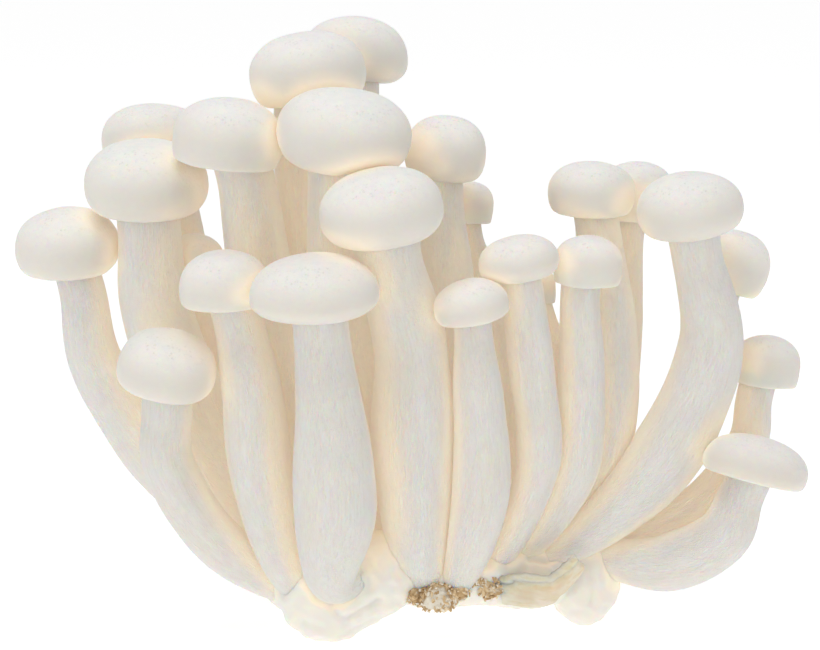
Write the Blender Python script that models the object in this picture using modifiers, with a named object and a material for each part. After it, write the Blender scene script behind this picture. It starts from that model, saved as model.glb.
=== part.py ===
"""A bunch of white shimeji (beech) mushrooms standing on the fused base it was cut at.

+X is to the right and +Y away from the viewer, with +Z up. The bunch stands on z = 0.
Each mushroom is a stem and a cap with gills under it. Every stem grows out of one fleshy base, and a crust of
the sawdust that the bunch grew on clings under the base. The table of mushrooms is in millimetres.
"""

import math
from collections import namedtuple

import bmesh
import bpy
import numpy as np
from mathutils import Matrix, Vector

MM = 0.001

# The whole layout is moved by this much, so that the middle of its outline stands on the origin.
LAYOUT_SHIFT = (0.28, -3.15, 0.0)

GAP = 0.3            # clear space between two pieces that touch
CUT_GAP = 0.45       # how far the base is grown to cut what stands on it, so that creases keep their gap
FLESH_GAP = 0.2      # kept on each side of two mushrooms that press on each other
NECK_DRIFT = 0.7     # how far off the cap's axis a stem ends, as a share of where it leaves the cap
COLLAR = 3.5         # how far down a stem is still as wide as its neck
STEM_RINGS = 9       # rings along a stem
LINE_POINTS = 36     # points along the middle line that distances are measured from
ROOT_SHARE = 0.25    # how far a stem's root runs from its foot towards the middle of the base
ROOT_WIDTH = 0.6     # a root's width as a share of its foot's
CHAMBER_RISE = 0.34  # how far the gills meet the stem above the cap's lower edge, as a share of the lower half
GILL_DEPTH = 0.9     # from a gill's edge to the flesh between two gills
GILL_SAG = 0.1       # how far gills hang below their roots halfway out, as a share of the lower half
SEAT_ROOM = 0.45     # how far the seat's edge stands off the stem's side
DOME_POWER = 0.88    # under 1 makes a dome fuller than an ellipse
LOBE_SHARE = 0.035   # how much a cap's outline swells and shrinks round its edge
LOBE_COUNTS = (2, 3, 5)
MARGIN_SHARE = 0.55  # the rolled margin's inner edge as a share of the cap's radius
OPEN_MARGIN_SHARE = 0.9
WIDEST_MARGIN = 0.93
MARGIN_ROOM = 0.7    # least space between the stem's side and the rolled margin
OPEN_CAP_LOW = 0.3   # a cap whose widest ring is lower than this has opened
SMALL_CAP = 9.0      # caps under this radius have fewer faces, and those under the next have fewest
TINY_CAP = 5.0
WIDE_SIDES, SMALL_SIDES, TINY_SIDES = 18, 14, 10
WIDE_DOME_ANGLES = (64, 43, 21, 0)
SMALL_DOME_ANGLES = (56, 29, 0)
MARGIN_ANGLES = (28, 58, 90)
STOUT_STEM = 5.5     # stems over this radius are rounder
STOUT_ROUNDNESS, SLIM_ROUNDNESS = 3, 2

BASE_VOXEL = 3.0
BASE_SMOOTHING = 3
CRUST_VOXEL = 1.25
# The swollen copy of the base can cross itself in the fold behind the flap, where EXACT fails.
CUT_SOLVER = "MANIFOLD"
CRUST_SEED = 3
CHIPS_PER_LUMP = 9
CHIP_SPREAD = 0.85   # how far out in its lump a chip lies
CHIP_LEAST = (0.7, 0.5, 0.5)
CHIP_MOST = (1.9, 1.0, 1.1)
SLIVER = 0.01        # a triangle of a stem thinner than this after a cut is closed up
CRUST_SLIVER = 0.002
CAP_SEED = 11
LEAST_PRESSED = 0.1  # a pressed point keeps at least this share of its distance
PRESS_STEPS = 37
PRESS_REACH = 1.0    # neighbours further off than this do not press
SAME = 0.001         # two lengths closer than this are one

# name, cap: middle, radius, thickness, lean to the right and to the viewer in degrees, and the widest ring's
# height as a share of the thickness. stem: middle and width at the neck, upper part, lower part and foot.
Mushroom = namedtuple("Mushroom", "name middle radius thick lean low stem")

MUSHROOMS = [
    Mushroom("left_outer", (-62.0, 6.0, 68.8), 9.4, 11.4, (-4, 8), 0.37,
             ((-60.0, 6.0, 62.5, 8.4), (-57.0, 6.0, 46.5, 9.8), (-44.5, 5.0, 27.0, 10.5), (-23.0, 4.0, 8.0, 6.8))),
    Mushroom("left_tall", (-47.5, 2.0, 80.8), 11.0, 12.7, (0, 10), 0.39,
             ((-47.0, 2.0, 74.0, 11.2), (-46.0, 3.0, 58.0, 12.7), (-38.0, 1.5, 36.0, 13.7), (-18.5, -3.0, 9.0, 8.6))),
    Mushroom("left_rear", (-47.0, 18.0, 87.2), 9.6, 10.6, (0, 0), 0.37,
             ((-45.0, 18.0, 82.0, 8.5), (-40.5, 19.0, 59.0, 9.2), (-33.0, 17.0, 33.5, 9.5), (-12.5, 10.5, 8.5, 6.6))),
    Mushroom("left_inner", (-32.0, -6.0, 89.8), 9.9, 11.2, (6, 6), 0.37,
             ((-29.5, -4.0, 83.5, 10.4), (-26.5, 0.0, 60.5, 11.9), (-21.5, 0.0, 35.0, 11.5), (-9.0, 0.0, 10.0, 7.2))),
    Mushroom("crown_front", (-18.5, 5.0, 100.2), 10.6, 12.6, (-6, 2), 0.40,
             ((-20.0, 6.0, 94.0, 9.0), (-19.0, 8.0, 66.5, 9.8), (-13.5, 7.0, 35.5, 10.2), (-2.0, 4.0, 9.0, 6.5))),
    Mushroom("crown_rear", (-10.0, 23.0, 102.2), 9.8, 12.0, (4, -6), 0.32,
             ((-10.5, 22.0, 96.0, 9.2), (-10.5, 20.0, 67.0, 10.0), (-5.5, 14.0, 36.5, 9.5), (2.5, 6.0, 10.0, 6.5))),
    Mushroom("centre_tall", (-11.5, -10.0, 90.4), 11.9, 13.7, (6, 8), 0.42,
             ((-12.5, -8.0, 83.0, 11.0), (-12.0, -4.0, 61.0, 12.2), (-8.5, -5.0, 35.5, 12.0), (-0.5, -3.0, 9.5, 7.2))),
    Mushroom("centre_front", (-5.0, -22.0, 78.3), 10.8, 12.0, (-9, 10), 0.39,
             ((-4.5, -20.0, 71.5, 11.5), (0.0, -17.0, 53.0, 13.3), (0.5, -18.0, 32.5, 14.2), (2.0, -13.0, 12.0, 8.8))),
    Mushroom("centre_right", (6.5, 3.0, 86.0), 7.4, 11.2, (4, 4), 0.40,
             ((5.5, 3.0, 80.0, 7.6), (7.0, 2.0, 60.0, 9.4), (9.5, 0.0, 35.0, 9.7), (9.5, -2.0, 10.5, 5.7))),
    Mushroom("centre_small", (11.0, 15.0, 74.8), 4.3, 7.5, (4, 0), 0.41,
             ((10.5, 15.0, 71.0, 4.4), (15.5, 13.0, 54.0, 7.2), (17.0, 8.0, 32.5, 7.6), (11.5, 3.0, 9.5, 4.7))),
    Mushroom("front_left", (-32.5, -19.0, 65.2), 8.1, 9.1, (-2, 6), 0.28,
             ((-30.5, -17.0, 59.5, 8.8), (-28.0, -16.0, 45.5, 10.7), (-26.0, -17.0, 29.0, 11.1),
              (-20.0, -16.0, 10.5, 7.0))),
    Mushroom("front_long", (-16.5, -28.0, 65.0), 11.1, 10.1, (-2, 8), 0.31,
             ((-15.5, -26.0, 58.5, 10.0), (-14.0, -26.0, 43.0, 12.1), (-13.0, -26.0, 26.0, 14.6),
              (-13.5, -22.0, 12.0, 9.0))),
    Mushroom("left_low", (-42.5, -18.0, 50.2), 8.8, 10.6, (12, 12), 0.33,
             ((-43.0, -16.0, 43.5, 8.8), (-43.0, -15.0, 32.0, 9.5), (-35.0, -13.5, 18.0, 9.3),
              (-20.5, -9.5, 7.5, 6.0))),
    Mushroom("left_hidden", (-39.0, 9.5, 64.9), 5.4, 9.1, (4, 0), 0.40,
             ((-39.0, 10.0, 60.0, 5.5), (-36.5, 10.0, 44.0, 6.9), (-29.5, 9.0, 27.0, 7.2), (-16.0, 4.5, 11.5, 5.4))),
    Mushroom("front_small", (10.5, -22.0, 61.6), 6.7, 6.8, (-11, 6), 0.32,
             ((11.0, -20.0, 57.5, 7.0), (12.0, -20.0, 43.5, 8.7), (12.5, -20.0, 27.5, 10.0), (8.5, -14.0, 10.5, 6.0))),
    Mushroom("front_right", (19.0, -16.0, 68.4), 7.2, 7.2, (-8, 6), 0.37,
             ((19.5, -15.0, 64.0, 7.4), (21.5, -15.0, 48.0, 8.1), (22.5, -15.0, 30.5, 7.7), (14.5, -10.0, 12.5, 5.0))),
    Mushroom("right_short", (31.5, -10.0, 67.2), 6.0, 8.4, (2, 4), 0.43,
             ((30.0, -10.0, 63.0, 7.1), (30.5, -10.0, 47.5, 8.3), (29.0, -10.0, 29.5, 8.9), (17.0, -6.0, 11.5, 5.4))),
    Mushroom("right_tall", (32.5, 2.0, 78.8), 7.9, 9.1, (2, 4), 0.41,
             ((33.5, 2.0, 74.5, 7.9), (35.5, 1.0, 51.0, 11.2), (34.0, -1.0, 30.5, 10.8), (20.0, -1.5, 9.5, 5.4))),
    Mushroom("right_rear", (41.5, 13.0, 77.0), 6.8, 10.6, (0, 0), 0.45,
             ((40.5, 12.0, 72.0, 5.1), (39.0, 11.0, 51.5, 6.9), (35.5, 7.0, 31.0, 7.3), (21.0, 5.0, 10.5, 5.1))),
    Mushroom("right_bend", (49.5, -6.0, 76.7), 9.6, 10.7, (-7, 8), 0.37,
             ((50.5, -5.0, 70.5, 9.1), (54.0, -3.0, 51.0, 11.5), (45.0, -4.5, 30.0, 12.9), (26.0, -6.0, 13.5, 6.0))),
    Mushroom("right_back", (59.5, 13.0, 64.2), 6.6, 11.1, (20, 0), 0.38,
             ((57.0, 12.0, 58.5, 6.2), (55.5, 11.0, 44.0, 6.9), (46.5, 8.0, 27.0, 7.3), (30.0, 5.0, 12.5, 5.4))),
    Mushroom("far_right", (65.0, 7.0, 46.7), 6.0, 8.9, (6, 0), 0.43,
             ((63.0, 6.0, 42.5, 6.7), (61.5, 5.0, 32.0, 7.3), (52.5, 1.0, 21.0, 7.9), (33.5, 1.0, 13.0, 5.8))),
    Mushroom("open_cap", (62.0, -10.0, 31.5), 9.4, 7.8, (14, -4), 0.25,
             ((60.5, -9.0, 27.5, 8.2), (56.0, -8.0, 17.0, 10.0), (46.5, -7.0, 12.0, 10.3), (32.0, -2.0, 12.0, 6.0))),
    Mushroom("gap_small", (22.5, 0.0, 61.5), 3.6, 6.5, (0, 0), 0.45,
             ((23.5, 0.0, 58.5, 4.3), (26.5, 0.0, 46.0, 6.1), (26.0, -1.0, 29.5, 6.1), (14.5, -1.5, 12.0, 4.3))),
    Mushroom("rear_left", (-26.5, 27.0, 66.0), 7.5, 10.5, (-4, -8), 0.44,
             ((-26.0, 26.5, 61.0, 7.0), (-24.5, 25.0, 46.0, 8.4), (-19.5, 19.0, 27.0, 8.8), (-9.0, 11.0, 9.0, 6.0))),
    Mushroom("rear_centre", (4.0, 30.0, 62.0), 8.0, 10.5, (2, -10), 0.42,
             ((4.0, 29.0, 57.0, 7.4), (4.5, 27.0, 43.0, 8.8), (5.0, 20.0, 26.0, 9.0), (5.0, 12.0, 9.0, 6.0))),
    Mushroom("rear_right", (35.0, 24.0, 55.0), 6.2, 9.0, (4, -6), 0.45,
             ((34.5, 23.5, 50.5, 6.2), (33.0, 21.5, 38.0, 7.2), (28.0, 15.0, 23.0, 7.6), (19.0, 8.0, 10.0, 5.4))),
    Mushroom("rear_low_left", (-25.0, 38.0, 41.0), 7.4, 10.0, (-6, -14), 0.44,
             ((-24.0, 36.5, 36.5, 6.6), (-21.5, 32.5, 27.0, 7.8), (-17.0, 25.0, 17.0, 8.0), (-10.0, 14.0, 8.0, 6.0))),
    Mushroom("rear_low_right", (25.0, 35.0, 38.0), 7.0, 9.4, (6, -14), 0.45,
             ((24.0, 33.5, 33.5, 6.4), (21.5, 29.5, 24.5, 7.4), (17.5, 22.5, 15.5, 7.8), (12.0, 13.0, 8.0, 5.6))),
]

# The base's fleshy lobes: middle, then half sizes along X, Y and Z. Four of them reach the ground.
BASE_LOBES = [
    ((5.0, 0.0, 10.5), (28.0, 16.0, 7.5)),
    ((-13.8, -13.5, 8.6), (10.6, 8.5, 9.0)),
    ((-14.5, -14.5, 4.0), (6.0, 6.5, 5.2)),
    ((-6.0, -14.0, 11.5), (7.5, 6.0, 8.0)),
    ((31.5, -1.0, 7.3), (6.5, 8.5, 8.3)),
    ((20.0, -7.0, 9.0), (9.0, 7.0, 5.5)),
    ((-18.5, 6.0, 6.6), (9.5, 8.0, 7.3)),
    ((6.0, 15.0, 6.0), (15.0, 8.5, 7.2)),
]
BASE_MIDDLE = np.array((5.0, 0.0, 9.0))

# The torn flap at the front of the base: its rooted lower edge and its free upper edge, which rises to a tip.
FLAP_ROOT = ((16.5, -12.0, 6.5), (20.5, -12.5, 6.0), (24.5, -13.5, 6.5), (28.5, -14.5, 10.0), (31.0, -14.0, 13.0))
FLAP_EDGE = ((15.5, -14.0, 11.0), (20.5, -16.5, 12.0), (24.5, -17.5, 12.0), (27.0, -17.0, 14.0), (29.0, -15.5, 15.5))
FLAP_THICK = 1.6
FLAP_STEPS, FLAP_ROWS = 9, 4
FLAP_BULGE = 1.5     # how far the flap's middle swells out in front of a straight line between its edges

# Chips of sawdust crust: middle and half sizes.
CRUST_LUMPS = [
    ((1.5, -15.0, 7.4), (3.6, 3.0, 2.0)),
    ((5.5, -15.5, 7.2), (4.2, 3.2, 3.0)),
    ((9.0, -15.0, 8.0), (3.4, 3.0, 2.6)),
    ((12.0, -14.5, 8.6), (2.8, 2.4, 1.4)),
    ((14.2, -13.8, 8.2), (2.4, 2.4, 2.2)),
]

CAP_SKIN = (0.88, 0.86, 0.82, 1.0)
STEM_FLESH = (0.91, 0.88, 0.82, 1.0)
BASE_FLESH = (0.89, 0.84, 0.73, 1.0)
SAWDUST = (0.42, 0.28, 0.14, 1.0)


def material(name, colour, roughness):
    """A plain Principled finish."""
    made = bpy.data.materials.new(name)
    made.use_nodes = True
    shader = made.node_tree.nodes["Principled BSDF"]
    shader.inputs["Base Color"].default_value = colour
    shader.inputs["Roughness"].default_value = roughness
    return made


def smooth_line(points, count):
    """Rows read off one smooth curve through rows of place and width, closer together on its short spans."""
    rows = np.asarray(points, float)
    spans = np.sqrt(np.linalg.norm(np.diff(rows[:, :3], axis=0), axis=1))
    knots = np.concatenate([[0], np.cumsum(spans)])
    slopes = np.diff(rows, axis=0) / spans[:, None]
    before, after = spans[:-1, None], spans[1:, None]
    inner = (slopes[:-1] * after + slopes[1:] * before) / (before + after)
    tangents = np.vstack([slopes[:1], inner, slopes[-1:]])
    places = np.linspace(0, knots[-1], count)
    at = np.clip(np.searchsorted(knots, places, side="right") - 1, 0, len(spans) - 1)
    width = spans[at][:, None]
    t = ((places - knots[at]) / spans[at])[:, None]
    start = rows[at] * (1 + 2 * t) * (1 - t) ** 2 + tangents[at] * width * t * (1 - t) ** 2
    return start + rows[at + 1] * t**2 * (3 - 2 * t) + tangents[at + 1] * width * t**2 * (t - 1)


class Cap:
    """One cap's frame: its own Z runs up through the pole, and z = 0 is its widest ring."""

    def __init__(self, mushroom, rng):
        right, front = (math.radians(a) for a in mushroom.lean)
        turn = Matrix.Rotation(right, 3, "Y") @ Matrix.Rotation(front, 3, "X")
        self.turn = np.array(turn)
        self.radius = mushroom.radius
        self.lower = mushroom.low * mushroom.thick
        self.dome = mushroom.thick - self.lower
        self.open = mushroom.low < OPEN_CAP_LOW
        offset = self.lower - mushroom.thick / 2
        self.origin = np.array(mushroom.middle) + self.turn @ np.array((0, 0, offset))
        self.gill_height = -self.lower * (1 - CHAMBER_RISE)
        self.lobes = [(k, LOBE_SHARE / k, rng.uniform(0, 2 * math.pi)) for k in LOBE_COUNTS]

    def to_own(self, points):
        return (points - self.origin) @ self.turn

    def to_world(self, points):
        return points @ self.turn.T + self.origin

    def swell(self, angle):
        """How far the edge stands out at an angle round the cap, near 1."""
        return 1 + sum(share * np.cos(k * angle + phase) for k, share, phase in self.lobes)

    def field(self, points):
        """Roughly how far points lie outside the cap, along lines from its middle."""
        own = self.to_own(points)
        angle = np.arctan2(own[:, 1], own[:, 0])
        wide = self.radius * self.swell(angle)
        tall = np.where(own[:, 2] > 0, self.dome, self.lower)
        reach = np.sqrt((own[:, 0] ** 2 + own[:, 1] ** 2) / wide**2 + own[:, 2] ** 2 / tall**2)
        return np.linalg.norm(own, axis=1) * (1 - 1 / np.maximum(reach, 1e-6))

    def margin(self, stem):
        """The inner edge of the rolled margin, wide enough for the stem to pass."""
        share = OPEN_MARGIN_SHARE if self.open else MARGIN_SHARE
        reach = max(np.linalg.norm(self.to_own(np.array([row[:3]]))[0, :2]) for row in stem.rows[:2])
        passing = min(reach + stem.neck_radius + MARGIN_ROOM, WIDEST_MARGIN * self.radius)
        return max(share * self.radius, passing)


class Stem:
    """One stem's middle line and widths, from inside the cap down to its root in the base."""

    def __init__(self, mushroom, cap):
        self.cap = cap
        neck, upper, foot = (np.array(mushroom.stem[row][:3]) for row in (0, 1, -1))
        own = cap.to_own(neck[None])[0]
        top = cap.to_world(np.array([[*(own[:2] * NECK_DRIFT), cap.gill_height - GAP]]))[0]
        collar = neck + (upper - neck) * COLLAR / np.linalg.norm(upper - neck)
        root = foot + (BASE_MIDDLE - foot) * ROOT_SHARE
        width, foot_width = mushroom.stem[0][3], mushroom.stem[-1][3]
        self.rows = [(*top, width), (*collar, width), *mushroom.stem[1:], (*root, foot_width * ROOT_WIDTH)]
        line = self.sample(LINE_POINTS)
        self.line, self.radii = line[:, :3], line[:, 3] / 2
        self.neck_radius = mushroom.stem[0][3] / 2

    def sample(self, count):
        return smooth_line(self.rows, count)

    def seated(self, points):
        """The top ring slid along the stem until it lies flat under the cap's seat."""
        step = self.line[0] - self.line[1]
        top = np.abs((points - self.line[0]) @ step) < np.linalg.norm(step)
        up = step @ self.cap.turn
        lift = self.cap.gill_height - GAP - self.cap.to_own(points)[:, 2]
        moves = np.outer(lift / up[2], up @ self.cap.turn.T)
        return points + np.where(top[:, None], moves, 0)

    def nearest(self, points):
        """For each point: the nearest place on the middle line, its radius there, and how far away it is."""
        start, step = self.line[:-1], np.diff(self.line, axis=0)
        along = np.einsum("psk,sk->ps", points[:, None] - start, step) / (step**2).sum(1)
        along = np.clip(along, 0, 1)
        places = start + along[..., None] * step
        away = np.linalg.norm(points[:, None] - places, axis=2)
        pick = away.argmin(1)
        rows = np.arange(len(points))
        share = along[rows, pick]
        radius = self.radii[pick] * (1 - share) + self.radii[pick + 1] * share
        return places[rows, pick], radius, away[rows, pick]

    def field(self, points):
        _, radius, away = self.nearest(points)
        return away - radius


def press(points, anchors, own, others):
    """Points drawn in towards their anchors until each is clear of the neighbours.

    Where two mushrooms would overlap, each keeps its own side of the surface midway between them, so they
    flatten against each other as crowded mushrooms do.
    """
    middle = points.mean(0)
    reach = np.linalg.norm(points - middle, axis=1).max()
    near = [other for other in others if other.field(middle[None])[0] < reach + PRESS_REACH]
    share = np.full(len(points), LEAST_PRESSED)
    clear = np.ones(len(points), bool)
    for step in np.linspace(LEAST_PRESSED, 1, PRESS_STEPS):
        moved = anchors + step * (points - anchors)
        mine = own.field(moved)
        for other in near:
            clear &= mine + 2 * FLESH_GAP <= other.field(moved)
        share = np.where(clear, step, share)
    return anchors + share[:, None] * (points - anchors)


def put_in(collection, name, mesh, look):
    made = bpy.data.objects.new(name, mesh)
    collection.objects.link(made)
    mesh.materials.clear()
    mesh.materials.append(look)
    return made


def evaluated_mesh(holder):
    """The holder's mesh with its modifiers or bevel applied. The holder itself is removed."""
    bpy.context.view_layer.update()
    graph = bpy.context.evaluated_depsgraph_get()
    mesh = bpy.data.meshes.new_from_object(holder.evaluated_get(graph))
    bpy.data.objects.remove(holder)
    return mesh


def vertices_of(mesh):
    flat = np.empty(len(mesh.vertices) * 3)
    mesh.vertices.foreach_get("co", flat)
    return flat.reshape(-1, 3)


def place(mesh, points):
    """Puts a mesh's vertices at points given in the table's millimetres."""
    mesh.vertices.foreach_set("co", ((points + LAYOUT_SHIFT) * MM).ravel())
    mesh.update()


def cap_sides(radius):
    if radius < TINY_CAP:
        return TINY_SIDES
    return SMALL_SIDES if radius < SMALL_CAP else WIDE_SIDES


def cap_profile(cap, stem):
    """Rows of radius and height, from the pole over the dome and the rolled margin to the gills' middle."""
    inner = cap.margin(stem)
    rows = [(0.0, cap.dome)]
    for degrees in WIDE_DOME_ANGLES if cap.radius > SMALL_CAP else SMALL_DOME_ANGLES:
        a = math.radians(degrees)
        rows.append((cap.radius * math.cos(a) ** DOME_POWER, cap.dome * math.sin(a) ** DOME_POWER))
    for degrees in MARGIN_ANGLES:
        a = math.radians(degrees)
        rows.append((inner + (cap.radius - inner) * math.cos(a), -cap.lower * math.sin(a)))
    seat = stem.neck_radius + SEAT_ROOM
    rows.append(((inner + seat) / 2, cap.gill_height - GILL_SAG * cap.lower))
    rows.append((seat, cap.gill_height))
    rows.append((0.0, cap.gill_height))
    return rows


def spun_cap(rows, sides):
    """The profile turned round Z, as a mesh in the cap's own frame."""
    mesh = bpy.data.meshes.new("profile")
    mesh.from_pydata([(r, 0, z) for r, z in rows], [(i, i + 1) for i in range(len(rows) - 1)], [])
    holder = bpy.data.objects.new("profile", mesh)
    bpy.context.scene.collection.objects.link(holder)
    screw = holder.modifiers.new("turn", "SCREW")
    screw.axis = "Z"
    screw.steps = screw.render_steps = sides
    screw.use_merge_vertices = True
    screw.merge_threshold = 0.0001
    return evaluated_mesh(holder)


def raise_gills(mesh, rings):
    """Splits the edges of the gill rings in two and lifts their old corners, so that gills hang between those."""
    work = bmesh.new()
    work.from_mesh(mesh)

    def corners(ring):
        radius, height = ring
        return {v for v in work.verts if abs(v.co.xy.length - radius) < SAME and abs(v.co.z - height) < SAME}

    edges = []
    for ring in rings:
        on_ring = corners(ring)
        edges += [e for e in work.edges if on_ring.issuperset(e.verts)]
    bmesh.ops.subdivide_edges(work, edges=edges, cuts=1)
    for ring in rings:
        for v in corners(ring):
            v.co.z += GILL_DEPTH
    work.to_mesh(mesh)
    work.free()


def build_cap(mushroom, cap, stem, others, collection, look):
    rows = cap_profile(cap, stem)
    mesh = spun_cap(rows, cap_sides(mushroom.radius))
    raise_gills(mesh, rows[-3:-1])
    own = vertices_of(mesh)
    away = np.hypot(own[:, 0], own[:, 1])
    inner, seat = rows[-4][0], rows[-2][0]
    beneath = own[:, 2] < cap.gill_height + GILL_DEPTH + SAME
    centring = np.where(beneath, np.clip((inner - away) / (inner - seat), 0, 1), 0)
    swell = cap.swell(np.arctan2(own[:, 1], own[:, 0]))
    own[:, :2] *= (1 + (swell - 1) * (1 - centring))[:, None]
    stem_top = cap.to_own(np.array([stem.rows[0][:3]]))[0]
    own[:, :2] += centring[:, None] * stem_top[:2]
    world = cap.to_world(own)
    place(mesh, press(world, np.broadcast_to(cap.origin, world.shape), cap, others))
    return put_in(collection, "cap_" + mushroom.name, mesh, look)


def tube(rows, resolution):
    """A curve with a round bevel and filled ends through rows of place and width, made a mesh."""
    data = bpy.data.curves.new("tube", "CURVE")
    data.dimensions = "3D"
    data.bevel_depth = 1.0
    data.bevel_resolution = resolution
    data.use_fill_caps = True
    spline = data.splines.new("POLY")
    spline.points.add(len(rows) - 1)
    for point, (x, y, z, width) in zip(spline.points, rows):
        point.co = (x, y, z, 1)
        point.radius = width / 2
    holder = bpy.data.objects.new("tube", data)
    bpy.context.scene.collection.objects.link(holder)
    mesh = evaluated_mesh(holder)
    work = bmesh.new()
    work.from_mesh(mesh)
    bmesh.ops.remove_doubles(work, verts=work.verts, dist=SAME)
    bmesh.ops.recalc_face_normals(work, faces=work.faces)
    work.to_mesh(mesh)
    work.free()
    return mesh


def largest_body(mesh, sliver):
    """The mesh without the slivers that a cut can leave on and beside its main body."""
    work = bmesh.new()
    work.from_mesh(mesh)
    bmesh.ops.triangulate(work, faces=work.faces)
    bmesh.ops.dissolve_degenerate(work, dist=sliver * MM, edges=work.edges)
    left = set(work.verts)
    bodies = []
    while left:
        front = [left.pop()]
        body = list(front)
        while front:
            near = {e.other_vert(v) for v in front for e in v.link_edges} & left
            left -= near
            front = list(near)
            body += front
        bodies.append(body)
    bodies.sort(key=len)
    bmesh.ops.delete(work, geom=[v for body in bodies[:-1] for v in body], context="VERTS")
    work.to_mesh(mesh)
    work.free()
    return mesh


def cut_clear(mesh, cutters, sliver):
    """The main body of what is left of a mesh outside the cutters."""
    holder = bpy.data.objects.new("uncut", mesh)
    bpy.context.scene.collection.objects.link(holder)
    for cutter in cutters:
        cut = holder.modifiers.new("clear of a neighbour", "BOOLEAN")
        cut.operation = "DIFFERENCE"
        cut.solver = CUT_SOLVER
        cut.object = cutter
    return largest_body(evaluated_mesh(holder), sliver)


def build_stem(mushroom, stem, others, collection, look, base_cutter):
    roundness = STOUT_ROUNDNESS if stem.radii.max() > STOUT_STEM else SLIM_ROUNDNESS
    mesh = tube(stem.sample(STEM_RINGS), roundness)
    world = stem.seated(vertices_of(mesh))
    anchors, _, _ = stem.nearest(world)
    place(mesh, press(world, anchors, stem, others))
    return put_in(collection, "stem_" + mushroom.name, cut_clear(mesh, [base_cutter], SLIVER), look)


def ellipsoid(middle, half_sizes, detail=3):
    mesh = bpy.data.meshes.new("lobe")
    work = bmesh.new()
    bmesh.ops.create_icosphere(work, subdivisions=detail, radius=1)
    bmesh.ops.transform(
        work, verts=work.verts,
        matrix=Matrix.Translation(Vector(middle)) @ Matrix.Diagonal((*half_sizes, 1)),
    )
    work.to_mesh(mesh)
    work.free()
    return mesh


def joined(meshes):
    work = bmesh.new()
    for mesh in meshes:
        work.from_mesh(mesh)
    made = bpy.data.meshes.new("joined")
    work.to_mesh(made)
    work.free()
    return made


def remeshed(mesh, voxel, smoothing):
    """Overlapping closed shapes made one closed skin of even faces."""
    holder = bpy.data.objects.new("skin", mesh)
    bpy.context.scene.collection.objects.link(holder)
    skin = holder.modifiers.new("skin", "REMESH")
    skin.mode = "VOXEL"
    skin.voxel_size = voxel
    soften = holder.modifiers.new("soften", "SMOOTH")
    soften.iterations = smoothing
    return evaluated_mesh(holder)


def flap_sheet():
    """The torn flap: a curved sheet between its root and its free edge, thickened."""
    mesh = bpy.data.meshes.new("flap")
    work = bmesh.new()
    bmesh.ops.create_grid(work, x_segments=FLAP_STEPS, y_segments=FLAP_ROWS, size=0.5)
    roots, edges = (smooth_line(line, FLAP_STEPS + 1) for line in (FLAP_ROOT, FLAP_EDGE))
    for v in work.verts:
        along, across = round((v.co.x + 0.5) * FLAP_STEPS), v.co.y + 0.5
        spot = roots[along] + (edges[along] - roots[along]) * across
        v.co = spot + np.array((0, -FLAP_BULGE * math.sin(math.pi * across), 0))
    work.to_mesh(mesh)
    work.free()
    holder = bpy.data.objects.new("flap", mesh)
    bpy.context.scene.collection.objects.link(holder)
    thick = holder.modifiers.new("thickness", "SOLIDIFY")
    thick.thickness = FLAP_THICK
    thick.offset = 0
    return evaluated_mesh(holder)


def united(first, second):
    """Two overlapping closed shapes as one mesh."""
    body, added = (bpy.data.objects.new("body", mesh) for mesh in (first, second))
    for piece in (body, added):
        bpy.context.scene.collection.objects.link(piece)
    union = body.modifiers.new("union", "BOOLEAN")
    union.operation = "UNION"
    union.object = added
    mesh = evaluated_mesh(body)
    bpy.data.objects.remove(added)
    return mesh


def build_base(collection, look):
    flesh = remeshed(joined([ellipsoid(*lobe) for lobe in BASE_LOBES]), BASE_VOXEL, BASE_SMOOTHING)
    mesh = united(flesh, flap_sheet())
    points = vertices_of(mesh)
    points[:, 2] = np.maximum(points[:, 2], 0)
    place(mesh, points)
    return put_in(collection, "base", mesh, look)


def swollen_copy(source, distance, name, collection):
    """A cutter: the source grown outwards by a distance, so that what it cuts keeps that gap."""
    mesh = source.data.copy()
    work = bmesh.new()
    work.from_mesh(mesh)
    work.normal_update()
    moves = [v.normal.copy() for v in work.verts]
    for v, normal in zip(work.verts, moves):
        v.co += normal * distance * MM
    work.to_mesh(mesh)
    work.free()
    return cutter_object(name, mesh, collection)


def cutter_object(name, mesh, collection):
    made = bpy.data.objects.new(name, mesh)
    collection.objects.link(made)
    made.hide_render = True
    made.display_type = "WIRE"
    return made


def build_crust(stems, bunch, cutters, look, base_cutter):
    """Chips of sawdust scattered round each lump and bound into one crust, clear of the base and the stems."""
    rng = np.random.default_rng(CRUST_SEED)
    blobs = []
    for middle, size in CRUST_LUMPS:
        blobs.append(ellipsoid(middle, size, 1))
        for _ in range(CHIPS_PER_LUMP):
            spot = rng.normal(size=3)
            spot *= CHIP_SPREAD / np.linalg.norm(spot)
            chip = rng.uniform(CHIP_LEAST, CHIP_MOST)
            blobs.append(ellipsoid(np.array(middle) + spot * size, chip, 1))
    mesh = remeshed(joined(blobs), CRUST_VOXEL, 0)
    points = vertices_of(mesh)
    neighbours = [base_cutter]
    for stem in stems:
        if stem.field(points).min() < GAP:
            fat = tube(stem.sample(STEM_RINGS) + (0, 0, 0, 2 * CUT_GAP), SLIM_ROUNDNESS)
            place(fat, vertices_of(fat))
            neighbours.append(cutter_object("stem_cutter", fat, cutters))
    place(mesh, points)
    return put_in(bunch, "sawdust_crust", cut_clear(mesh, neighbours, CRUST_SLIVER), look)


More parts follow.
